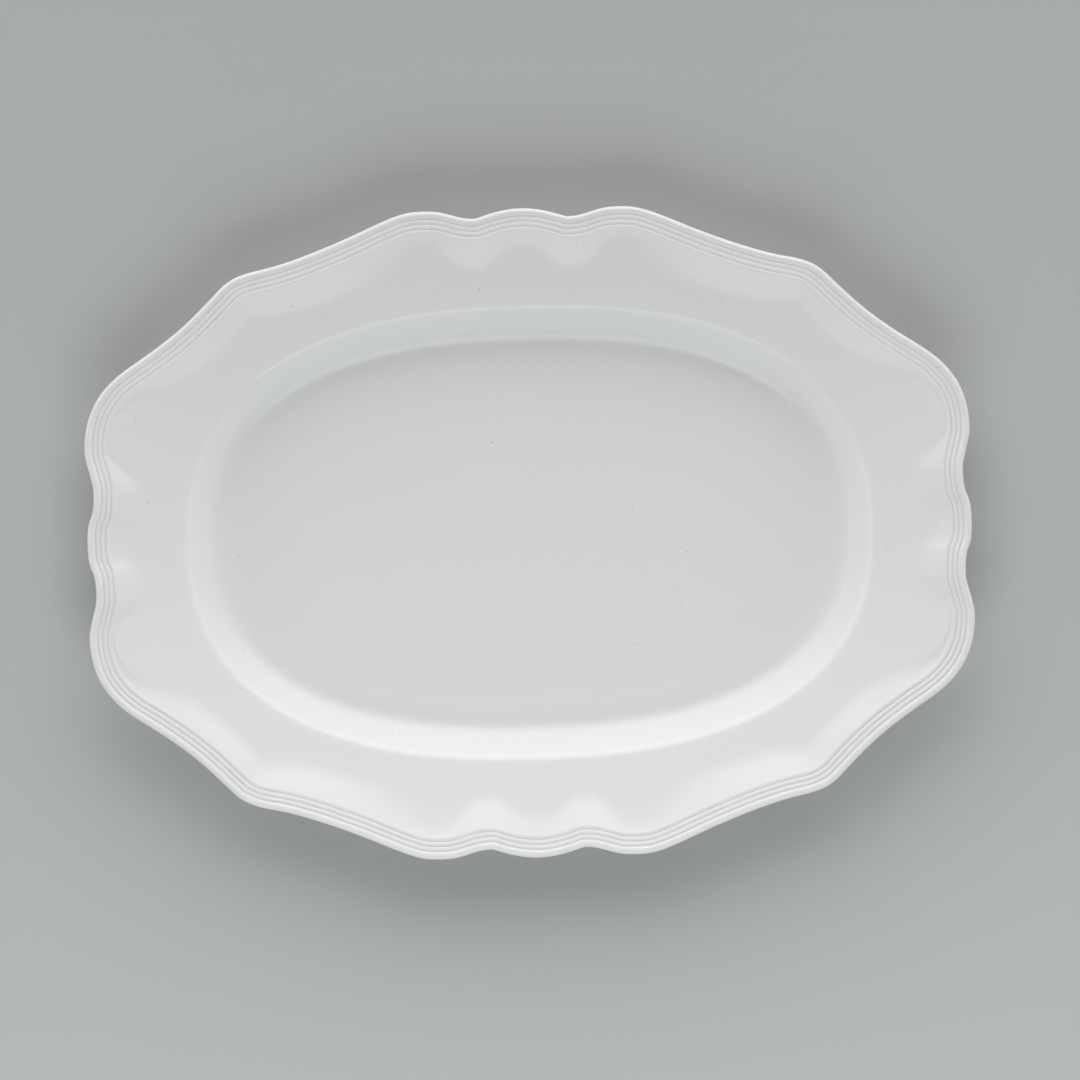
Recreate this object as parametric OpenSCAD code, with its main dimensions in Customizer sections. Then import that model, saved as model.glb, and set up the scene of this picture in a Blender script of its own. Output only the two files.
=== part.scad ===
// Oval china serving platter with a scalloped, reeded edge.
// Frame: the platter stands on z = 0, its length runs along X and its width along Y.
// Every surface is built from rays. A ray starts at a point of the scalloped edge, runs
// inwards to the oval shoulder of the well, and on to the oval floor.

/* [Overall size] */
// Length over the end lobes
platter_l = 360; // [354:1:370]
// Width over the long sides' middle lobes
platter_w = 264; // [260:1:276]
// Height of the lip above the table
platter_h = 28; // [27.5:0.5:31]

/* [Well] */
// Half length of the well's shoulder
shoulder_a = 139.5; // [137:0.5:140]
// Half width of the well's shoulder
shoulder_b = 91.1; // [88.5:0.1:92]
// Plan width of the well's wall, from shoulder to flat floor
wall_run = 17.6; // [16.4:0.1:19]
// Height of the shoulder above the table
shoulder_z = 19.5; // [18:0.1:19.8]
// Height of the floor's upper face above the table
floor_z = 7.2; // [6.4:0.1:8.4]

/* [Rim] */
// Upward slope of the flat part of the rim, in degrees
rim_slope = 10.8; // [9:0.1:11.2]
// Plan distance from one reed's crest to the next
reed_pitch = 2.03; // [1.9:0.01:2.1]
// Height of a reed above the grooves beside it
reed_height = 0.34; // [0.1:0.02:0.4]
// Thickness of the rim
rim_t = 3.7; // [3.4:0.1:4.2]

/* [Foot] */
// Height of the foot ring
foot_h = 3; // [2.4:0.1:3.4]
// Width of the foot ring's resting face
foot_w = 4.5; // [3.5:0.1:6]

/* [Glaze] */
// Thickness of the glaze coat
glaze_t = 0.25; // [0.15:0.01:0.35]

/* [Hidden] */

// The size at which the outline's table below is written.
DRAWN_L = 360;
DRAWN_W = 264;
FIT = [platter_l / DRAWN_L, platter_w / DRAWN_W];

// One quarter of the scalloped outline, from the middle of the right end to the middle of
// the long side. Each row is a lobe, a dip, a bend or an end of the corner's curve:
// [x, y, heading, lead out, lead in, steps to the next row, angle on the well, width of the
// upturned band, drop of the lip]. The leads are the curve's handles, as parts of the distance
// to the next row. The lip is highest at the dips and drops a little at the lobes.
KEYS = [
    [179.8, 0.0, 90, 0.63, 0.66, 3, 0, 18.3, 1.0],
    [176.7, 21.6, 90, 0.20, 0.24, 3, 7.6, 21.5, 0],
    [180.0, 37.8, 90, 0.52, 0.24, 4, 13.4, 10.4, 0.8],
    [158.5, 73.2, 147, 0.50, 0.36, 3, 22.0, 20.5, 0.5],
    [123.2, 102.4, 135, 0.32, 0.46, 4, 36.8, 19.5, 0.3],
    [106.0, 109.9, 169, 0.24, 0.34, 3, 39.2, 22.0, 0.3],
    [63.8, 124.8, 156, 0.65, 0.28, 3, 56.6, 24.5, 0.4],
    [38.7, 131.7, 180, 0.44, 0.39, 3, 68.5, 20.0, 0.6],
    [18.8, 128.2, 180, 0.06, 0.50, 3, 79.2, 23.0, 0],
    [0.0, 132.0, 180, 0, 0, 0, 90, 19.0, 0.6]
];
LAST = len(KEYS) - 1;

// The ovals are superellipses, a little squarer than an ellipse.
SHOULDER_POWER = 2.4;
FLOOR_POWER = 2.5;

// Lip: a rounded roll. Distances in from the edge, and heights below the top.
LIP_CREST = 1.4;
LIP_FOOT = 3.2;
LIP_SIDE = 0.45;
LIP_MID_DROP = 1.7;
LIP_SIDE_DROP = 0.5;
LIP_FOOT_DROP = 0.8;
LIP_UNDER_DROP = 3.4;
REEDS = 3;
// The reeds step down inwards by this much each.
REED_FALL = 0.12;
BORDER_D = LIP_FOOT + (REEDS + 0.05) * reed_pitch;
BORDER_DROP = LIP_FOOT_DROP + REEDS * REED_FALL - reed_height * 0.5;
// Slope at which the border meets the upturned band, in degrees.
BORDER_SLOPE = 19;

// The wall falls at one slope down to this part of its run. From there its distance above
// the floor dies away with this power, so that it sweeps into the floor.
WALL_STRAIGHT = 0.38;
WALL_EASE = 3;
// The underside of the wall leaves the foot level and is straight after this part.
UNDER_SWEEP = 0.45;
// The shoulder's rounding, and how far out and down its underside's bend lies.
SHOULDER_ROUND = 1.2;
UNDER_OUT = 3.4;
UNDER_FLARE = 4;
UNDER_ROUND = 0.6;

// Half sizes of the floor. The foot's outer side stands under the floor's edge.
floor_a = shoulder_a - wall_run;
floor_b = shoulder_b - wall_run;

// ---- plane geometry ----
function mix(a, b, t) = a + (b - a) * t;
function unit(v) = v / norm(v);
function ease(t) = t * t * (3 - 2 * t);
function fitted(p) = [p.x * FIT.x, p.y * FIT.y];
function heading(angle) = [cos(angle), sin(angle)];
function bezier(a, b, c, d, t) =
    mix(mix(mix(a, b, t), mix(b, c, t), t), mix(mix(b, c, t), mix(c, d, t), t), t);
function bezier_way(a, b, c, d, t) =
    mix(mix(b - a, c - b, t), mix(c - b, d - c, t), t);
// A point of an oval at a given angle from the X axis.
function oval(a, b, power, angle) =
    let (c = cos(angle), s = sin(angle))
    heading(angle) / pow(pow(c / a, power) + pow(s / b, power), 1 / power);
// A cubic between two heights with given slopes at both ends.
function sweep(z0, slope0, z1, slope1, run, t) =
    let (m0 = slope0 * run, m1 = slope1 * run, d = z1 - z0)
    z0 + t * (m0 + t * ((3 * d - 2 * m0 - m1) + t * (m0 + m1 - 2 * d)));
// Falls from 0 to 1: straight as far as `WALL_STRAIGHT`, then easing to level.
function wall_fall(u) =
    let (
        curved = 1 - WALL_STRAIGHT,
        m = 1 / (WALL_STRAIGHT + curved / WALL_EASE)
    )
    u < WALL_STRAIGHT ? m * u : 1 - m * curved / WALL_EASE * pow((1 - u) / curved, WALL_EASE);
// Rises from 0 to 1: level at first, easing over `UNDER_SWEEP` to one slope.
function under_rise(v) =
    let (m = 1 / (1 - UNDER_SWEEP / 2))
    v < UNDER_SWEEP ? m * v * v / (2 * UNDER_SWEEP) : m * (v - UNDER_SWEEP / 2);

// ---- the outline and its rays ----
// A ray: [edge point, direction inwards, distance scale, shoulder point, angle, band width,
// drop of the lip].
function ray(k, t) =
    let (
        here = KEYS[k],
        next = KEYS[min(k + 1, LAST)],
        p0 = [here.x, here.y],
        p3 = [next.x, next.y],
        chord = norm(p3 - p0),
        p1 = p0 + heading(here[2]) * here[3] * chord,
        p2 = p3 - heading(next[2]) * here[4] * chord,
        edge = fitted(k == LAST ? p0 : bezier(p0, p1, p2, p3, t)),
        way = k == LAST ? [-1, 0] : unit(fitted(bezier_way(p0, p1, p2, p3, t))),
        inward = [-way.y, way.x],
        angle = mix(here[6], next[6], t),
        shoulder = oval(shoulder_a, shoulder_b, SHOULDER_POWER, angle),
        dir = unit(shoulder - edge),
        band = mix(here[7], next[7], ease(t)),
        drop = mix(here[8], next[8], ease(t))
    )
    [edge, dir, 1 / (dir * inward), shoulder, angle, band, drop];

RAYS = [
    for (k = [0 : LAST - 1]) for (j = [0 : KEYS[k][5] - 1]) ray(k, j / KEYS[k][5]),
    ray(LAST, 0)
];
QUARTER = len(RAYS) - 1;
AROUND = 4 * QUARTER;

// ---- the finished surfaces along one ray ----
// A plan position d inside the edge, or out from the shoulder, joined with a height.
function from_edge(r, d, z) = let (p = r[0] + r[1] * d * r[2]) [p.x, p.y, z];
function from_shoulder(r, out, z) = let (p = r[3] - r[1] * out) [p.x, p.y, z];
function lip_z(r) = platter_h - r[6];
function border_z(r) = lip_z(r) - BORDER_DROP;
function rim_z(r, d) = shoulder_z + tan(rim_slope) * norm(r[3] - r[0] - r[1] * d * r[2]);
// The floor's edge, or an oval inside it by an inset.
function floor_edge(r, inset = 0) = oval(floor_a - inset, floor_b - inset, FLOOR_POWER, r[4]);

function band_point(r, t) =
    let (
        run = r[5] - BORDER_D,
        z = sweep(border_z(r), -tan(BORDER_SLOPE), rim_z(r, r[5]), -tan(rim_slope), run, t)
    )
    from_edge(r, BORDER_D + run * t, z);
function wall_point(r, u) =
    let (p = mix(r[3], floor_edge(r), u), fall = wall_fall(u))
    [p.x, p.y, mix(shoulder_z, floor_z, fall)];

// The lip and the reeds: distances in from the edge, and drops below the lip's top.
LIP = [[0, LIP_MID_DROP], [LIP_SIDE, LIP_SIDE_DROP], [LIP_CREST, 0]];
BORDER = [
    for (i = [0 : REEDS - 1]) each let (drop = LIP_FOOT_DROP + i * REED_FALL)
        [[LIP_FOOT + i * reed_pitch, drop], [LIP_FOOT + (i + 0.52) * reed_pitch, drop - reed_height]],
    [BORDER_D, BORDER_DROP]
];
function top_path(r) = [
    for (p = concat(LIP, BORDER)) from_edge(r, p[0], lip_z(r) - p[1]),
    for (t = [0.3, 0.65]) band_point(r, t),
    from_edge(r, r[5], rim_z(r, r[5])),
    from_shoulder(r, SHOULDER_ROUND, shoulder_z + tan(rim_slope) * SHOULDER_ROUND),
    for (u = [0.07, WALL_STRAIGHT, 0.54, 0.74, 1]) wall_point(r, u),
    [0, 0, floor_z]
];

// The underside follows the rim at its thickness and meets the foot level.
function under_rim_z(out) = shoulder_z - rim_t + tan(rim_slope) * out;
function under_point(r, v) =
    let (
        p = mix(floor_edge(r), r[3] - r[1] * UNDER_OUT, v),
        top = under_rim_z(UNDER_OUT) - UNDER_ROUND
    )
    [p.x, p.y, mix(foot_h - glaze_t, top, under_rise(v))];
function under_path(r) = [
    from_edge(r, 0, lip_z(r) - LIP_MID_DROP),
    from_edge(r, LIP_SIDE, lip_z(r) - LIP_UNDER_DROP + LIP_SIDE_DROP),
    from_edge(r, LIP_CREST, lip_z(r) - LIP_UNDER_DROP),
    from_edge(r, BORDER_D, border_z(r) - rim_t),
    from_edge(r, r[5], rim_z(r, r[5]) - rim_t),
    from_shoulder(r, UNDER_OUT + UNDER_FLARE, under_rim_z(UNDER_OUT + UNDER_FLARE)),
    for (v = [1, 0.7, 0.45, 0.22, 0]) under_point(r, v)
];

// ---- the porcelain under the glaze, along one ray ----
// The upward normal of a path that runs from a to b.
function upward(a, b) =
    let (plan = [b.x - a.x, b.y - a.y], run = norm(plan), rise = b.z - a.z)
    unit([-plan.x * rise / run, -plan.y * rise / run, run]);
// The path moved by t along its upward normals, with its two end points given.
function moved(path, t, first, last) = [
    first,
    for (i = [1 : len(path) - 2]) path[i] + t * upward(path[i - 1], path[i + 1]),
    last
];
function bare_edge(r) = from_edge(r, glaze_t, lip_z(r) - LIP_MID_DROP);
function bare_top(r) = moved(top_path(r), -glaze_t, bare_edge(r), [0, 0, floor_z - glaze_t]);
function bare_under(r) =
    let (foot = floor_edge(r))
    moved(under_path(r), glaze_t, bare_edge(r), [foot.x, foot.y, foot_h]);

// ---- closed sections, carried round the platter ----
function reversed(v) = [for (i = [len(v) - 1 : -1 : 0]) v[i]];
function without_first(v) = [for (i = [1 : 1 : len(v) - 1]) v[i]];
// One section for each ray round the whole platter, mirrored from the quarter's sections.
function around(sections) = [
    for (i = [0 : AROUND - 1]) let (
        q = floor(i / QUARTER),
        m = i - q * QUARTER,
        j = q % 2 == 0 ? m : QUARTER - m,
        side = [q == 0 || q == 3 ? 1 : -1, q < 2 ? 1 : -1]
    )
    [for (p = sections[j]) [p.x * side.x, p.y * side.y, p.z]]
];
// The two triangles between neighbouring rays i and j, from ring a to ring b.
function panel(ai, aj, bi, bj, turned) =
    turned ? [[ai, aj, bi], [aj, bj, bi]] : [[ai, aj, bj], [ai, bj, bi]];

// A solid whose sections start and end on the Z axis. Bands from `turned_from` on have
// their diagonals turned, so that they match those of the solid that they lie against.
module round_solid(quarter, turned_from) {
    sections = around(quarter);
    rings = len(sections[0]) - 2;
    last = AROUND * rings + 1;
    points = [
        sections[0][0],
        for (s = sections) for (k = [1 : rings]) s[k],
        sections[0][rings + 1]
    ];
    faces = [
        for (i = [0 : AROUND - 1]) let (a = 1 + i * rings, b = 1 + (i + 1) % AROUND * rings) each [
            [0, b, a],
            for (k = [0 : 1 : rings - 2])
                each panel(a + k, b + k, a + k + 1, b + k + 1, k + 1 >= turned_from),
            [a + rings - 1, b + rings - 1, last]
        ]
    ];
    polyhedron(points, faces);
}

// A solid whose sections are closed loops. Bands before `turned_to` are turned.
module ring_solid(quarter, turned_to) {
    sections = around(quarter);
    n = len(sections[0]);
    points = [for (s = sections) each s];
    faces = [
        for (i = [0 : AROUND - 1]) let (a = i * n, b = (i + 1) % AROUND * n)
            for (k = [0 : n - 1]) let (next = (k + 1) % n)
                each panel(a + k, b + k, a + next, b + next, k < turned_to)
    ];
    polyhedron(points, faces);
}

NO_TURN = 1000;

// The fired porcelain: floor, wall, shoulder, rim, upturned band, reeds and lip in one piece.
module platter_body() {
    color("whitesmoke")
        round_solid([
            for (r = RAYS) let (foot = floor_edge(r, foot_w)) [
                each reversed(bare_top(r)),
                each without_first(bare_under(r)),
                [foot.x, foot.y, foot_h],
                [0, 0, foot_h]
            ]
        ], NO_TURN);
}

module foot_oval(inset) {
    corners = around([for (r = RAYS) [[each floor_edge(r, inset), 0]]]);
    polygon([for (c = corners) [c[0].x, c[0].y]]);
}

// The oval foot, with its ground and unglazed resting face on z = 0.
module foot_ring() {
    color("linen")
        linear_extrude(foot_h)
            difference() {
                foot_oval(0);
                foot_oval(foot_w);
            }
}

// The glaze over the whole upper side, out to the middle of the lip's edge.
module face_glaze() {
    color("azure")
        round_solid(
            [for (r = RAYS) [each reversed(top_path(r)), each bare_top(r)]],
            len(top_path(RAYS[0]))
        );
}

// The glaze on the underside, from the lip's edge in to the outer side of the foot.
module back_glaze() {
    color("aliceblue")
        ring_solid(
            [for (r = RAYS) [each reversed(bare_under(r)), each under_path(r)]],
            len(under_path(RAYS[0]))
        );
}

// The glaze on the underside inside the foot.
module recess_glaze() {
    color("mintcream")
        round_solid([
            for (r = RAYS) let (foot = floor_edge(r, foot_w)) [
                [0, 0, foot_h],
                [foot.x, foot.y, foot_h],
                [foot.x, foot.y, foot_h - glaze_t],
                [0, 0, foot_h - glaze_t]
            ]
        ], NO_TURN);
}

platter_body();
foot_ring();
face_glaze();
back_glaze();
recess_glaze();
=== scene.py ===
import math

import bmesh
import bpy
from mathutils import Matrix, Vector


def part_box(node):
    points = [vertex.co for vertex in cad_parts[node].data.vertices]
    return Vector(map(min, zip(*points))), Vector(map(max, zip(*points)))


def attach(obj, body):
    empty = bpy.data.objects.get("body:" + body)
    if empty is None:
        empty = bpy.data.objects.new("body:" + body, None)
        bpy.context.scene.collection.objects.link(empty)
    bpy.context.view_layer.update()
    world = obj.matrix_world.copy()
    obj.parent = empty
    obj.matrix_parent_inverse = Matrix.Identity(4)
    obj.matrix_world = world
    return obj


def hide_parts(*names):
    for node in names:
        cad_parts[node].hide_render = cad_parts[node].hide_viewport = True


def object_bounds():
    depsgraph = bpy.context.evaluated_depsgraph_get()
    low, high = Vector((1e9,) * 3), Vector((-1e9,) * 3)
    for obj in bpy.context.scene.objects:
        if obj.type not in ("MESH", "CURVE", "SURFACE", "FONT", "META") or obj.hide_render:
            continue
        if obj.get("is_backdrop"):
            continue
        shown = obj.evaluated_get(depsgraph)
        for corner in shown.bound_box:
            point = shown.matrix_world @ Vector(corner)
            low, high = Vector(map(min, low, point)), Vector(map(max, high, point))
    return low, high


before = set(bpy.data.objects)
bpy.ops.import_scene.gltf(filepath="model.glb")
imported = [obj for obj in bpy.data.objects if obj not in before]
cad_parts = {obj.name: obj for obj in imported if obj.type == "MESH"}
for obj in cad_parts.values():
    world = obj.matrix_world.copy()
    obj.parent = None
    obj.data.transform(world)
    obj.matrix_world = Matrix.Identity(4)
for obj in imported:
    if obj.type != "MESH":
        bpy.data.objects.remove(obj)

# ---------------------------------------------------------------- camera
# A long lens looks straight down on the platter from above its middle. The platter lies
# turned by a degree or so in the view, and a little off its centre.
cad_low, cad_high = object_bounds()
length = cad_high.x - cad_low.x
width = cad_high.y - cad_low.y
lip_top = cad_high.z
middle = (cad_low + cad_high) / 2

VIEW_TURN = math.radians(1.6)
PLATTER_SHARE = 0.8207  # of the picture's width
OFF_CENTRE = Vector((-0.0096, 0.0066))  # of the picture's width, rightwards and upwards
LENS_MM = 300.0
SENSOR_MM = 36.0

view_width = length / PLATTER_SHARE
camera_data = bpy.data.cameras.new("camera")
camera_data.lens = LENS_MM
camera_data.sensor_width = SENSOR_MM
camera_data.clip_end = 20.0
camera = bpy.data.objects.new("camera", camera_data)
camera.rotation_euler = (0.0, 0.0, -VIEW_TURN)
aside = Vector((-OFF_CENTRE.x, -OFF_CENTRE.y, 0.0)) * view_width
aside.rotate(camera.rotation_euler)
stand_off = view_width * LENS_MM / SENSOR_MM
camera.location = Vector((middle.x, middle.y, lip_top + stand_off)) + aside
bpy.context.collection.objects.link(camera)
bpy.context.scene.camera = camera

# ---------------------------------------------------------------- porcelain body
# One piece of white porcelain, pressed over a mould: flat oval floor, sloping wall, crisp
# shoulder, plain sloping rim, and an upturned outer band that ends in three reeds and a
# rolled lip. It is fired once bare, and the glaze coats then cover all of it but the foot.
MM = 0.001
GLAZE = 0.25 * MM

# One quarter of the scalloped outline, in mm: place, heading in degrees, how far the
# curve's handles lead out and in, steps, angle on the well, width of the upturned band, and
# how far the lip drops there below its highest places.
OUTLINE_KEYS = [
    (179.8, 0.0, 90, 0.63, 0.66, 3, 0.0, 18.3, 1.0),  # middle lobe of the end
    (176.7, 21.6, 90, 0.20, 0.24, 3, 7.6, 21.5, 0.0),  # dip
    (180.0, 37.8, 90, 0.52, 0.24, 4, 13.4, 10.4, 0.8),  # outer lobe of the end
    (158.5, 73.2, 147, 0.50, 0.36, 3, 22.0, 20.5, 0.5),
    (123.2, 102.4, 135, 0.32, 0.46, 4, 36.8, 19.5, 0.3),  # corner, from here
    (106.0, 109.9, 169, 0.24, 0.34, 3, 39.2, 22.0, 0.3),  # to here
    (63.8, 124.8, 156, 0.65, 0.28, 3, 56.6, 24.5, 0.4),
    (38.7, 131.7, 180, 0.44, 0.39, 3, 68.5, 20.0, 0.6),  # outer lobe of the long side
    (18.8, 128.2, 180, 0.06, 0.50, 3, 79.2, 23.0, 0.0),  # dip
    (0.0, 132.0, 180, 0.0, 0.0, 0, 90.0, 19.0, 0.6),  # middle lobe of the long side
]
DRAWN_LENGTH = 360.0
DRAWN_WIDTH = 264.0
FINER = 4

# Lip, reeds and band, in mm: distances in from the edge and drops below the lip's top.
LIP_CREST = 1.4
LIP_FOOT = 3.2
LIP_FOOT_DROP = 0.8
LIP_MID_DROP = 1.7
LIP_UNDER_DROP = 3.4
LIP_TURN = math.radians(72.0)
REEDS = 3
REED_PITCH = 2.03
REED_RISE = 0.45
REED_FALL = 0.12
LAST_REED_WIDER = 1.05
LAST_REED_END = 0.17  # the last reed meets the band this far above the grooves
BORDER_RUN = LIP_FOOT + (REEDS - 1 + LAST_REED_WIDER) * REED_PITCH
BORDER_DROP = LIP_FOOT_DROP + REEDS * REED_FALL - LAST_REED_END
BORDER_SLOPE = math.tan(math.radians(19.0))

# Rim and well, in mm.
RIM_SLOPE = math.tan(math.radians(10.8))
RIM_THICK = 3.7
SHOULDER_A, SHOULDER_B, SHOULDER_POWER = 139.5, 91.1, 2.4
SHOULDER_Z = 19.5
SHOULDER_ROUND = 1.9
WALL_RUN = 17.6
WALL_STRAIGHT = 0.38
WALL_EASE = 3.0
FLOOR_POWER = 2.5
FLOOR_Z = 7.2
UNDER_OUT = 3.4
UNDER_FLARE = 4.0
UNDER_ROUND = 0.6
UNDER_SWEEP = 0.45
# Slopes under the lip and under the start of the band, as parts of the mean slope between.
UNDER_LIP_TILT = 0.6
UNDER_BAND_TILT = 1.3

foot_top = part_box("foot_ring")[1].z / MM
FOOT_WIDE = 4.5
lip_height = lip_top / MM


def mix(a, b, t):
    return a + (b - a) * t


def steps(count, first=0.0, last=1.0):
    """Evenly spaced values from first to last, both included."""
    return [mix(first, last, i / count) for i in range(count + 1)]


def heading(degrees):
    angle = math.radians(degrees)
    return Vector((math.cos(angle), math.sin(angle)))


def oval(half_length, half_width, power, degrees):
    """A point of a superellipse, at an angle from the length."""
    way = heading(degrees)
    total = abs(way.x / half_length) ** power + abs(way.y / half_width) ** power
    return way / total ** (1.0 / power)


class Ray:
    """A line from a point of the scalloped edge in to the shoulder of the well."""

    def __init__(self, here, after, t):
        start, end = Vector(here[:2]), Vector(after[:2])
        chord = (end - start).length
        lead_out = start + heading(here[2]) * here[3] * chord
        lead_in = end - heading(after[2]) * here[4] * chord
        a, b, c = mix(start, lead_out, t), mix(lead_out, lead_in, t), mix(lead_in, end, t)
        d, e = mix(a, b, t), mix(b, c, t)
        self.edge = mix(d, e, t)
        along = (e - d).normalized() if chord else Vector((-1.0, 0.0))
        self.angle = mix(here[6], after[6], t)
        eased = t * t * (3.0 - 2.0 * t)
        self.band = mix(here[7], after[7], eased)
        self.lip = lip_height - mix(here[8], after[8], eased)
        self.shoulder = oval(SHOULDER_A, SHOULDER_B, SHOULDER_POWER, self.angle)
        self.inward = (self.shoulder - self.edge).normalized()
        self.stretch = 1.0 / self.inward.dot(Vector((-along.y, along.x)))

    def from_edge(self, run, z):
        return (self.edge + self.inward * run * self.stretch).to_3d() + Vector((0, 0, z))

    def from_shoulder(self, out, z):
        return (self.shoulder - self.inward * out).to_3d() + Vector((0, 0, z))

    def rim_z(self, run):
        gap = self.shoulder - self.edge - self.inward * run * self.stretch
        return SHOULDER_Z + RIM_SLOPE * gap.length

    def floor_edge(self, inset, z):
        """A point of the floor's edge, or of an oval inside it. The foot stands below it."""
        inset += WALL_RUN
        point = oval(SHOULDER_A - inset, SHOULDER_B - inset, FLOOR_POWER, self.angle)
        return point.to_3d() + Vector((0, 0, z))


def sweep(z0, slope0, z1, slope1, run, t):
    """A cubic from height z0 to z1 over a run, with the slopes given at its ends."""
    m0, m1, rise = slope0 * run, slope1 * run, z1 - z0
    return z0 + t * (m0 + t * (3 * rise - 2 * m0 - m1 + t * (m0 + m1 - 2 * rise)))


def bend(a, b, c, count):
    """The points of a smooth bend from a to c, round the corner b, without a itself."""
    return [mix(mix(a, b, t), mix(b, c, t), t) for t in steps(count)[1:]]


def border_points(ray):
    """Roll of the lip from its outermost line, then the reeds, as far as the band."""
    points = []
    for turn in steps(7, 0.0, math.pi / 2):
        drop = LIP_MID_DROP * (1 - math.sin(turn))
        points.append(ray.from_edge(LIP_CREST * (1 - math.cos(turn)), ray.lip - drop))
    for turn in steps(5, 0.0, LIP_TURN)[1:]:
        run = mix(LIP_CREST, LIP_FOOT, math.sin(turn) / math.sin(LIP_TURN))
        drop = LIP_FOOT_DROP * (1 - math.cos(turn)) / (1 - math.cos(LIP_TURN))
        points.append(ray.from_edge(run, ray.lip - drop))
    for reed in range(REEDS):
        last = reed == REEDS - 1
        for part in steps(7, 0.0, 1.0)[1:]:
            rise = REED_RISE * math.sin(math.pi * part) ** 0.8
            if last and part > 0.5:
                rise = mix(LAST_REED_END, REED_RISE, math.sin(math.pi * part))
            run = LIP_FOOT + (reed + part * (LAST_REED_WIDER if last else 1.0)) * REED_PITCH
            drop = LIP_FOOT_DROP + (reed + part) * REED_FALL
            points.append(ray.from_edge(run, ray.lip - drop + rise))
    return points


def face_section(ray):
    """The finished upper surface, from the lip's outermost line to the floor's middle."""
    points = border_points(ray)
    run = ray.band - BORDER_RUN
    foot_z = ray.rim_z(ray.band)
    border_z = ray.lip - BORDER_DROP
    for t in steps(14)[1:]:
        z = sweep(border_z, -BORDER_SLOPE, foot_z, -RIM_SLOPE, run, t)
        points.append(ray.from_edge(BORDER_RUN + run * t, z))
    shoulder_start = ray.from_shoulder(SHOULDER_ROUND, SHOULDER_Z + RIM_SLOPE * SHOULDER_ROUND)
    points += [mix(points[-1], shoulder_start, t) for t in steps(5)[1:]]
    shoulder = ray.from_shoulder(0, SHOULDER_Z)
    floor_edge = ray.floor_edge(0, FLOOR_Z)
    curved = 1 - WALL_STRAIGHT
    steep = 1 / (WALL_STRAIGHT + curved / WALL_EASE)
    wall_run = (shoulder - floor_edge).length

    def wall(u):
        ease = 1 - steep * curved / WALL_EASE * ((1 - u) / curved) ** WALL_EASE
        fall = steep * u if u < WALL_STRAIGHT else ease
        flat = mix(shoulder, floor_edge, u)
        return Vector((flat.x, flat.y, mix(SHOULDER_Z, FLOOR_Z, fall)))

    first = SHOULDER_ROUND / wall_run
    points += bend(shoulder_start, shoulder, wall(first), 5)
    points += [wall(u) for u in steps(4, first, WALL_STRAIGHT)[1:]]
    points += [wall(u) for u in steps(11, WALL_STRAIGHT, 1.0)[1:]]
    points += [Vector((floor_edge.x * t, floor_edge.y * t, FLOOR_Z)) for t in (0.9, 0.7, 0.4)]
    points.append(Vector((0, 0, FLOOR_Z)))
    return points


def under_section(ray):
    """The finished underside, from the lip's outermost line to the foot."""
    points = []
    for turn in steps(6, 0.0, math.pi / 2):
        run = LIP_CREST * (1 - math.cos(turn))
        drop = mix(LIP_MID_DROP, LIP_UNDER_DROP, math.sin(turn))
        points.append(ray.from_edge(run, ray.lip - drop))
    border_z = ray.lip - BORDER_DROP - RIM_THICK
    start_z = points[-1].z
    under_run = BORDER_RUN - LIP_CREST
    mean_slope = (border_z - start_z) / under_run
    lip_slope, band_slope = mean_slope * UNDER_LIP_TILT, mean_slope * UNDER_BAND_TILT
    for t in steps(5)[1:]:
        z = sweep(start_z, lip_slope, border_z, band_slope, under_run, t)
        points.append(ray.from_edge(mix(LIP_CREST, BORDER_RUN, t), z))
    run = ray.band - BORDER_RUN
    foot_z = ray.rim_z(ray.band) - RIM_THICK
    for t in steps(8)[1:]:
        z = sweep(border_z, band_slope, foot_z, -RIM_SLOPE, run, t)
        points.append(ray.from_edge(BORDER_RUN + run * t, z))

    def under_rim(out):
        return ray.from_shoulder(out, SHOULDER_Z - RIM_THICK + RIM_SLOPE * out)

    flare = under_rim(UNDER_OUT + UNDER_FLARE)
    points += [mix(points[-1], flare, t) for t in steps(4)[1:]]
    corner = under_rim(UNDER_OUT) - Vector((0, 0, UNDER_ROUND))
    level = ray.floor_edge(0, foot_top - GLAZE / MM)
    steep = 1 / (1 - UNDER_SWEEP / 2)

    def wall(v):
        early = steep * v * v / (2 * UNDER_SWEEP)
        rise = early if v < UNDER_SWEEP else steep * (v - UNDER_SWEEP / 2)
        flat = mix(level, corner, v)
        return Vector((flat.x, flat.y, mix(level.z, corner.z, rise)))

    points += bend(flare, mix(under_rim(UNDER_OUT), corner, 0.6), wall(0.8), 8)
    points += [wall(v) for v in steps(12, 0.8, 0.0)[1:]]
    return points


def beneath(points, depth, first, last):
    """The same section moved down by a depth, square to itself, between two given ends."""
    moved = [first]
    for before, point, after in zip(points, points[1:], points[2:]):
        run = (after - before).to_2d()
        rise = after.z - before.z
        up = Vector((-run.x * rise, -run.y * rise, run.length_squared)).normalized()
        moved.append(point - up * depth)
    return moved + [last]


QUARTER_RAYS = [
    Ray(here, after, i / (here[5] * FINER))
    for here, after in zip(OUTLINE_KEYS, OUTLINE_KEYS[1:])
    for i in range(here[5] * FINER)
] + [Ray(OUTLINE_KEYS[-1], OUTLINE_KEYS[-1], 0.0)]


def around(section):
    """The section at each ray round the whole platter, mirrored from the quarter."""
    quarter = [section(ray) for ray in QUARTER_RAYS]
    fit = Vector((length / DRAWN_LENGTH, width / DRAWN_WIDTH, MM))
    count = len(quarter) - 1
    sections = []
    for q, (side_x, side_y) in enumerate([(1, 1), (-1, 1), (-1, -1), (1, -1)]):
        for m in range(count):
            points = quarter[m if q % 2 == 0 else count - m]
            turn = Vector((side_x * fit.x, side_y * fit.y, fit.z))
            sections.append([Vector((p.x * turn.x, p.y * turn.y, p.z * turn.z)) for p in points])
    return sections


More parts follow.
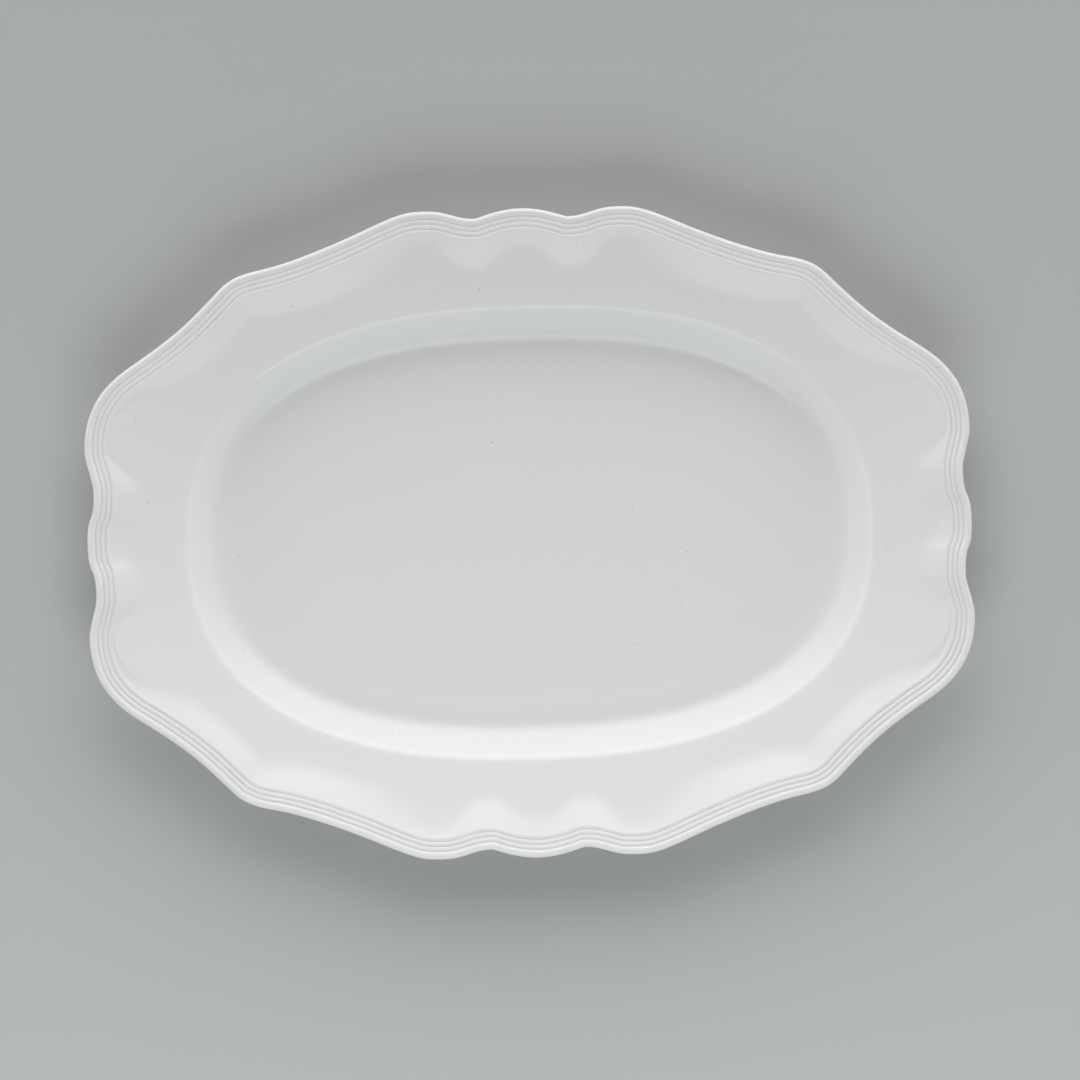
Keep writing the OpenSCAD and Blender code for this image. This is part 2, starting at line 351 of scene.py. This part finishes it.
def hollow_of(points, looped):
    """How hollow the section is at each point, per mm: 0 on the flat, below 0 on a crest."""
    hollows = []
    for k, point in enumerate(points):
        before, after = points[k - 1], points[(k + 1) % len(points)]
        to, on = point - before, after - point
        at_axis = not looped and k in (0, len(points) - 1)
        if at_axis or to.length < GLAZE or on.length < GLAZE * 0.2:
            hollows.append(hollows[-1] if hollows else 0.0)
            continue
        run_to = math.copysign(to.to_2d().length, to.to_2d().dot(after.to_2d() - before.to_2d()))
        run_on = math.copysign(on.to_2d().length, on.to_2d().dot(after.to_2d() - before.to_2d()))
        turned = math.atan2(on.z, run_on) - math.atan2(to.z, run_to)
        hollows.append(turned / (to.length + on.length) * 2 * MM)
    return hollows


def thrown(name, section, looped=False, creases=()):
    """A closed shell: a ring of points is drawn out along its section, ring by ring.

    A looped section comes back to its first ring, and any other starts and ends on the
    middle axis. Creases are the rings where the surface turns a sharp corner.
    """
    sections = around(section)
    shell = bmesh.new()
    station = shell.verts.layers.int.new("station")
    # How hollow each point is; the glaze tone darkens the hollows with it, partly as painted
    # shade.
    hollowness = shell.verts.layers.float.new("hollowness")
    first = 0 if looped else 1
    ring = bmesh.ops.create_circle(shell, segments=len(sections), radius=1.0)["verts"]
    hollows = [hollow_of(points, looped) for points in sections]
    for i, vert in enumerate(ring):
        vert[station] = i
        vert[hollowness] = hollows[i][first]
        vert.co = sections[i][first]
    edges = list(shell.edges)
    sharp = list(edges) if first in creases else []
    for k in list(range(first + 1, len(sections[0]))) + [0]:
        if k == 0 and not looped:
            bmesh.ops.pointmerge(shell, verts=ring, merge_co=sections[0][-1])
            edges = [edge for edge in shell.edges if edge.is_boundary]
        grown = bmesh.ops.extrude_edge_only(shell, edges=edges)["geom"]
        ring = [part for part in grown if isinstance(part, bmesh.types.BMVert)]
        edges = [
            part for part in grown
            if isinstance(part, bmesh.types.BMEdge) and part.is_boundary
        ]
        for vert in ring:
            vert.co = sections[vert[station]][k]
            vert[hollowness] = hollows[vert[station]][k]
        if k in creases:
            sharp += edges
    for edge in sharp:
        edge.smooth = False
    bmesh.ops.remove_doubles(shell, verts=shell.verts, dist=GLAZE * 0.01)
    bmesh.ops.recalc_face_normals(shell, faces=shell.faces)
    shell.normal_update()
    for vert in shell.verts:
        vert[hollowness] *= math.copysign(1.0, vert.normal.z)
    for face in shell.faces:
        face.smooth = True
    mesh = bpy.data.meshes.new(name)
    shell.to_mesh(mesh)
    shell.free()
    piece = bpy.data.objects.new(name, mesh)
    bpy.context.collection.objects.link(piece)
    return piece


def body_section(ray):
    """The bare porcelain: the finished surfaces less the glaze, and the level foot."""
    edge = ray.from_edge(GLAZE / MM, ray.lip - LIP_MID_DROP)
    face = beneath(face_section(ray), GLAZE / MM, edge, Vector((0, 0, FLOOR_Z - GLAZE / MM)))
    under = beneath(under_section(ray), -GLAZE / MM, edge, ray.floor_edge(0, foot_top))
    inner = ray.floor_edge(FOOT_WIDE, foot_top)
    recess = [mix(Vector((0, 0, foot_top)), inner, t) for t in (1.0, 0.6, 0.3, 0.0)]
    return face[::-1] + under[1:] + recess


platter_body = thrown("porcelain_body", body_section)
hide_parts("platter_body")
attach(platter_body, "root")


class Nodes:
    """Adds nodes to one material or group, each with its inputs set or linked."""

    def __init__(self, tree):
        self.tree = tree

    def link(self, source, target):
        self.tree.links.new(source, target)

    def add(self, kind, inputs=None, **settings):
        node = self.tree.nodes.new(kind)
        for key, value in settings.items():
            setattr(node, key, value)
        for key, value in (inputs or {}).items():
            if isinstance(value, bpy.types.NodeSocket):
                self.link(value, node.inputs[key])
            else:
                node.inputs[key].default_value = value
        return node

    def math(self, operation, *values, clamp=False):
        node = self.add("ShaderNodeMath", dict(enumerate(values)), operation=operation)
        node.use_clamp = clamp
        return node.outputs[0]

    def ramp(self, value, low, high, to_low=0.0, to_high=1.0):
        ends = {"From Min": low, "From Max": high, "To Min": to_low, "To Max": to_high}
        return self.add("ShaderNodeMapRange", {"Value": value, **ends}).outputs[0]

    def blend(self, factor, a, b):
        """The colour a turning into b as the factor goes from 0 to 1."""
        inputs = {"Factor": factor, 6: a, 7: b}
        node = self.add("ShaderNodeMix", inputs, data_type="RGBA")
        return node.outputs[2]

    def noise(self, place, scale, detail):
        inputs = {"Vector": place, "Scale": scale, "Detail": detail}
        return self.add("ShaderNodeTexNoise", inputs).outputs[0]

    def bump(self, height, strength, distance):
        inputs = {"Height": height, "Strength": strength, "Distance": distance}
        return self.add("ShaderNodeBump", inputs).outputs[0]

    def finish(self, inputs):
        """Ends a material in a Principled surface with these inputs."""
        shader = self.add("ShaderNodeBsdfPrincipled", inputs)
        self.add("ShaderNodeOutputMaterial", {"Surface": shader.outputs[0]})


def new_material(name):
    material = bpy.data.materials.new(name)
    material.use_nodes = True
    material.node_tree.nodes.clear()
    return material, Nodes(material.node_tree)


def new_group(name, inputs, outputs):
    """A shader node group; a socket is given as its name and its resting value."""
    tree = bpy.data.node_groups.new(name, "ShaderNodeTree")
    for in_out, sockets in (("INPUT", inputs), ("OUTPUT", outputs)):
        for socket_name, value in sockets.items():
            kind = "Float" if isinstance(value, float) else "Color"
            socket = tree.interface.new_socket(
                socket_name, in_out=in_out, socket_type="NodeSocket" + kind
            )
            if in_out == "INPUT":
                socket.default_value = value
    nodes = Nodes(tree)
    return tree, nodes, nodes.add("NodeGroupInput").outputs, nodes.add("NodeGroupOutput").inputs


# Specks of iron and ash from the kiln, few and small, each with its own darkness.
SPECK_SHARE = 0.3  # of the cells hold one
specks, nodes, given, result = new_group(
    "kiln specks",
    {
        "Colour": (1.0, 1.0, 1.0, 1.0), "Speck": (0.2, 0.18, 0.16, 1.0),
        "Spacing": 0.02, "Size": 0.0003,
    },
    {"Colour": (1.0, 1.0, 1.0, 1.0), "Mask": 0.0},
)
place = nodes.add("ShaderNodeTexCoord").outputs["Object"]
scale = nodes.math("DIVIDE", 1.0, given["Spacing"])
cells = nodes.add(
    "ShaderNodeTexVoronoi", {"Vector": place, "Scale": scale}, voronoi_dimensions="2D"
)
chance = nodes.add("ShaderNodeSeparateColor", {"Color": cells.outputs["Color"]}).outputs
reach = nodes.math("MULTIPLY", cells.outputs["Distance"], given["Spacing"])
own_size = nodes.math("MULTIPLY", given["Size"], nodes.ramp(chance[1], 0.0, 1.0, 0.3, 1.0))
near = nodes.ramp(nodes.math("DIVIDE", reach, own_size), 1.3, 0.5)
chosen = nodes.math("LESS_THAN", chance[0], SPECK_SHARE)
mask = nodes.math("MULTIPLY", nodes.math("MULTIPLY", near, chosen), chance[2], clamp=True)
nodes.link(nodes.blend(mask, given["Colour"], given["Speck"]), result["Colour"])
nodes.link(mask, result["Mask"])

# Fine grain of bare porcelain, as a height from 0 to 1.
grain, nodes, given, result = new_group("bare grain", {"Size": 0.001}, {"Height": 0.5})
place = nodes.add("ShaderNodeTexCoord").outputs["Object"]
scale = nodes.math("DIVIDE", 1.0, given["Size"])
nodes.link(nodes.noise(place, scale, 5.0), result["Height"])

bisque, nodes = new_material("bisque porcelain")
place = nodes.add("ShaderNodeTexCoord").outputs["Object"]
clouds = nodes.noise(place, 18.0, 3.0)
white = nodes.blend(clouds, (0.80, 0.79, 0.76, 1.0), (0.85, 0.84, 0.82, 1.0))
speckled = nodes.add("ShaderNodeGroup", {"Colour": white}, node_tree=specks)
grainy = nodes.add("ShaderNodeGroup", {"Size": 0.0011}, node_tree=grain).outputs["Height"]
nodes.finish({
    "Base Color": speckled.outputs["Colour"],
    "Roughness": nodes.ramp(grainy, 0.3, 0.7, 0.6, 0.75),
    "Normal": nodes.bump(grainy, 0.5, 0.00003),
})
platter_body.data.materials.append(bisque)

# ---------------------------------------------------------------- foot ring
# The oval ridge that the platter stands on, formed with the body. It is wiped clean of
# glaze before firing and ground level after it, so its edge is bare, dull and faintly
# grey from the tables it has stood on.
FOOT_TAPER = 0.5
FOOT_SOFT = 0.4 * MM
FOOT_WORN = 0.9 * MM


def foot_section(ray):
    outer = [ray.floor_edge(0, z) for z in (foot_top, foot_top * 0.5)]
    land = [ray.floor_edge(inset, 0) for inset in (FOOT_TAPER, FOOT_WIDE - FOOT_TAPER)]
    inner = [ray.floor_edge(FOOT_WIDE, z) for z in (foot_top * 0.5, foot_top)]
    return outer + land + inner


foot_ring = thrown("bare_foot_ring", foot_section, looped=True)
ridge = bmesh.new()
ridge.from_mesh(foot_ring.data)
corners = [
    edge for edge in ridge.edges
    if all(vert.co.z < FOOT_SOFT / 2 for vert in edge.verts) and edge.calc_face_angle() > 0.1
]
bmesh.ops.bevel(
    ridge, geom=corners, offset=FOOT_SOFT, offset_type="OFFSET", affect="EDGES",
    segments=3, profile=0.5, material=-1,
)
for face in ridge.faces:
    face.smooth = True
ridge.to_mesh(foot_ring.data)
ridge.free()
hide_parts("foot_ring")
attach(foot_ring, "root")

ground, nodes = new_material("ground porcelain")
place = nodes.add("ShaderNodeTexCoord").outputs["Object"]
above_table = nodes.add("ShaderNodeSeparateXYZ", {"Vector": place}).outputs["Z"]
low = nodes.ramp(above_table, FOOT_WORN, 0.0)
rubbed = nodes.noise(place, 190.0, 6.0)
marks = nodes.math("MULTIPLY", nodes.ramp(rubbed, 0.46, 0.74), low, clamp=True)
bare = nodes.blend(low, (0.80, 0.78, 0.73, 1.0), (0.74, 0.71, 0.65, 1.0))
soiled = nodes.blend(nodes.math("MULTIPLY", marks, 0.6), bare, (0.42, 0.40, 0.37, 1.0))
speckled = nodes.add(
    "ShaderNodeGroup", {"Colour": soiled, "Spacing": 0.006, "Size": 0.00025}, node_tree=specks
)
grainy = nodes.add("ShaderNodeGroup", {"Size": 0.0007}, node_tree=grain).outputs["Height"]
nodes.finish({
    "Base Color": speckled.outputs["Colour"],
    "Roughness": nodes.ramp(marks, 0.0, 1.0, 0.85, 0.6),
    "Normal": nodes.bump(grainy, 0.8, 0.00005),
})
foot_ring.data.materials.append(ground)

# ---------------------------------------------------------------- face glaze
# The clear feldspar glaze over the whole upper face: a thin, hard, glassy coat, poured on
# and fired. It gathers in the grooves between the reeds and at the foot of the wall, and
# runs thin over the crests. Its tone is painted darker in those hollows, partly for the
# gathered glaze and partly as painted shade.


def face_glaze_section(ray):
    face = face_section(ray)
    edge = ray.from_edge(GLAZE / MM, ray.lip - LIP_MID_DROP)
    return face[::-1] + beneath(face, GLAZE / MM, edge, Vector((0, 0, FLOOR_Z - GLAZE / MM)))


face_rings = len(face_section(QUARTER_RAYS[0]))
face_glaze = thrown("face_glaze_coat", face_glaze_section, creases=(face_rings - 1, face_rings))
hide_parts("face_glaze")
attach(face_glaze, "root")

# How thick the glaze lies makes its tone: greener and greyer where it gathers, whiter
# where it thins, with broad faint clouds from the firing. The darkening in the hollows,
# strongest in the grooves between the reeds, is partly that gathered glaze and partly
# painted shade.
tone, nodes, given, result = new_group(
    "glaze tone",
    {
        "White": (0.86, 0.86, 0.835, 1.0), "Clouded": (0.845, 0.855, 0.835, 1.0),
        "Gathered and shaded": (0.72, 0.75, 0.73, 1.0), "Thin": (0.88, 0.87, 0.85, 1.0),
    },
    {"Colour": (1.0, 1.0, 1.0, 1.0)},
)
place = nodes.add("ShaderNodeTexCoord").outputs["Object"]
clouds = nodes.noise(place, 9.0, 4.0)
hollowness = nodes.add("ShaderNodeAttribute", attribute_name="hollowness").outputs["Fac"]
# Painted shade: the hollows are darkened and greened, partly for gathered glaze and partly as the
# shade that lies in them.
hollow = nodes.ramp(hollowness, 0.0, 1.2, 0.0, 0.6)
crest = nodes.ramp(hollowness, 0.0, -1.0)
white = nodes.blend(nodes.ramp(clouds, 0.35, 0.65), given["White"], given["Clouded"])
white = nodes.blend(crest, white, given["Thin"])
nodes.link(nodes.blend(hollow, white, given["Gathered and shaded"]), result["Colour"])

# The skin of the fired glaze, as a height from 0 to 1: a soft ripple as on orange peel,
# wider waves under it, and pinholes where a bubble burst.
skin, nodes, given, result = new_group(
    "glaze skin", {"Ripple": 0.002, "Pinhole spacing": 0.02}, {"Height": 0.5}
)
place = nodes.add("ShaderNodeTexCoord").outputs["Object"]
scale = nodes.math("DIVIDE", 1.0, given["Ripple"])
peel = nodes.noise(place, scale, 2.0)
waves = nodes.noise(place, 45.0, 1.0)
holes = nodes.add(
    "ShaderNodeGroup",
    {"Spacing": given["Pinhole spacing"], "Size": 0.0002}, node_tree=specks,
).outputs["Mask"]
height = nodes.math("ADD", nodes.math("MULTIPLY", peel, 0.25), nodes.math("MULTIPLY", waves, 0.75))
nodes.link(nodes.math("SUBTRACT", height, nodes.math("MULTIPLY", holes, 0.6)), result["Height"])

# Faint marks of use and washing, from 0 to 1: hairline scratches in all directions and
# smudges where the surface is a touch duller.
wear, nodes, given, result = new_group("glaze wear", {"Spacing": 0.05}, {"Wear": 0.0})
place = nodes.add("ShaderNodeTexCoord").outputs["Object"]
scale = nodes.math("DIVIDE", 1.0, given["Spacing"])
total = nodes.ramp(nodes.noise(place, scale, 2.0), 0.2, 1.0, 0.0, 0.5)
STROKE = (0.015, 0.0003, 0.015)  # length, width and depth of a scratch's cell
for degrees in (17, 71, 128):
    turn = (0.0, 0.0, math.radians(degrees))
    turned = nodes.add(
        "ShaderNodeMapping", {"Vector": place, "Rotation": turn, "Scale": STROKE},
        vector_type="TEXTURE",
    ).outputs[0]
    strokes = nodes.ramp(nodes.noise(turned, 1.0, 1.0), 0.72, 0.8, 0.0, 0.16)
    total = nodes.math("ADD", total, strokes)
nodes.link(nodes.math("MINIMUM", total, 1.0), result["Wear"])


def glazed(name, ripple_depth, pinhole_spacing, white, clouded):
    """A glossy white glaze with its own tone, depth of ripple and spacing of pinholes."""
    material, nodes = new_material(name)
    toned = nodes.add("ShaderNodeGroup", {"White": white, "Clouded": clouded}, node_tree=tone)
    speckled = nodes.add("ShaderNodeGroup", {"Colour": toned.outputs["Colour"]}, node_tree=specks)
    rippled = nodes.add("ShaderNodeGroup", {"Pinhole spacing": pinhole_spacing}, node_tree=skin)
    worn = nodes.add("ShaderNodeGroup", node_tree=wear).outputs["Wear"]
    nodes.finish({
        "Base Color": speckled.outputs["Colour"],
        "Roughness": nodes.ramp(worn, 0.0, 1.0, 0.23, 0.37),
        "Normal": nodes.bump(rippled.outputs["Height"], 1.0, ripple_depth),
    })
    return material


face_glaze.data.materials.append(
    glazed("face glaze", 0.00004, 0.03, (0.86, 0.86, 0.835, 1.0), (0.845, 0.855, 0.835, 1.0))
)

# ---------------------------------------------------------------- back glaze
# The same clear glaze on the underside, from the lip in to the foot. It is less carefully
# poured than the face, so it ripples more and has more pinholes.


def back_glaze_section(ray):
    under = under_section(ray)
    edge = ray.from_edge(GLAZE / MM, ray.lip - LIP_MID_DROP)
    bare = beneath(under, -GLAZE / MM, edge, ray.floor_edge(0, foot_top))
    return bare[::-1] + under


under_rings = len(under_section(QUARTER_RAYS[0]))
back_glaze = thrown(
    "back_glaze_coat", back_glaze_section, looped=True,
    creases=(0, under_rings - 1, under_rings, 2 * under_rings - 1),
)
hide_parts("back_glaze")
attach(back_glaze, "root")
back_glaze.data.materials.append(
    glazed("back glaze", 0.00007, 0.016, (0.85, 0.85, 0.825, 1.0), (0.825, 0.835, 0.815, 1.0))
)

# ---------------------------------------------------------------- recess glaze
# The same glaze inside the foot, over the flat middle of the underside. It stops at the
# wiped foot in a thin square edge.


def recess_section(ray):
    level = foot_top - GLAZE / MM
    inner = ray.floor_edge(FOOT_WIDE, level)
    below = [Vector((inner.x * t, inner.y * t, level)) for t in (0.0, 0.3, 0.6, 0.85, 1.0)]
    above = [Vector((point.x, point.y, foot_top)) for point in below]
    return below + above[::-1]


recess_rings = len(recess_section(QUARTER_RAYS[0])) // 2
recess_glaze = thrown(
    "recess_glaze_coat", recess_section, creases=(recess_rings - 1, recess_rings)
)
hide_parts("recess_glaze")
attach(recess_glaze, "root")
recess_glaze.data.materials.append(back_glaze.data.materials[0])

# ---------------------------------------------------------------- stand and light
# A plain pale tabletop in a plain white light tent. The tent's back and ends glow, and two
# soft boxes stand in front, a low one and a high one.
TABLE_REACH = 3.0
tabletop = bmesh.new()
bmesh.ops.create_circle(tabletop, cap_ends=True, segments=96, radius=TABLE_REACH)
table_mesh = bpy.data.meshes.new("tabletop")
tabletop.to_mesh(table_mesh)
tabletop.free()
table = bpy.data.objects.new("tabletop", table_mesh)
bpy.context.collection.objects.link(table)
table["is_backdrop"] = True
tabletop_paint, nodes = new_material("tabletop paint")
nodes.finish({"Base Color": (0.53, 0.55, 0.545, 1.0), "Roughness": 0.9})
table.data.materials.append(tabletop_paint)

BOX_AWAY = 1.6
BOX_WIDE = 1.6
for name, rise, tall, power, colour in (
    ("low front box", 13, 0.5, 3.5, (0.88, 1.0, 0.92)),
    ("high front box", 45, 1.0, 12.2, (0.965, 1.0, 0.99)),
):
    box = bpy.data.lights.new(name, "AREA")
    box.shape = "RECTANGLE"
    box.size, box.size_y = BOX_WIDE, tall
    box.energy = power
    box.color = colour
    soft_box = bpy.data.objects.new(name, box)
    out = Vector((0.0, -math.cos(math.radians(rise)), math.sin(math.radians(rise))))
    soft_box.location = middle + out * BOX_AWAY
    soft_box.rotation_euler = out.to_track_quat("Z", "Y").to_euler()
    soft_box.visible_camera = False
    bpy.context.collection.objects.link(soft_box)

# Each glowing panel: its strength, the height in degrees up to which it glows fully, and
# the height at which its glow ends.
BACK_GLOW, BACK_FULL, BACK_TOP = 2.45, 45.0, 65.0
END_GLOW, END_FULL, END_TOP = 1.44, 14.0, 28.0
tent = bpy.data.worlds.new("light tent")
tent.use_nodes = True
tent.node_tree.nodes.clear()
nodes = Nodes(tent.node_tree)
direction = nodes.add("ShaderNodeTexCoord").outputs["Generated"]
across, away, up = nodes.add("ShaderNodeSeparateXYZ", {"Vector": direction}).outputs
level = nodes.math("SUBTRACT", 1.0, nodes.math("MULTIPLY", up, up))
level = nodes.math("MAXIMUM", level, 0.0001)
rise = nodes.math("DEGREES", nodes.math("ARCSINE", up))
back = nodes.math("MAXIMUM", away, 0.0)
back = nodes.math("DIVIDE", nodes.math("MULTIPLY", back, back), level)
back = nodes.math("MULTIPLY", back, nodes.ramp(rise, BACK_TOP, BACK_FULL, 0.0, BACK_GLOW))
ends = nodes.math("DIVIDE", nodes.math("MULTIPLY", across, across), level)
ends = nodes.math("MULTIPLY", ends, nodes.ramp(rise, END_TOP, END_FULL, 0.0, END_GLOW))
glow = nodes.add(
    "ShaderNodeBackground",
    {"Color": (1.0, 0.98, 1.0, 1.0), "Strength": nodes.math("ADD", back, ends)},
)
plain = nodes.add("ShaderNodeBackground", {"Color": (0.5, 0.52, 0.515, 1.0), "Strength": 1.0})
seen = nodes.add("ShaderNodeLightPath").outputs["Is Camera Ray"]
surround = nodes.add("ShaderNodeMixShader", {0: seen, 1: glow.outputs[0], 2: plain.outputs[0]})
nodes.add("ShaderNodeOutputWorld", {"Surface": surround.outputs[0]})
bpy.context.scene.world = tent
bpy.context.scene.view_settings.view_transform = "Standard"

low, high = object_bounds()
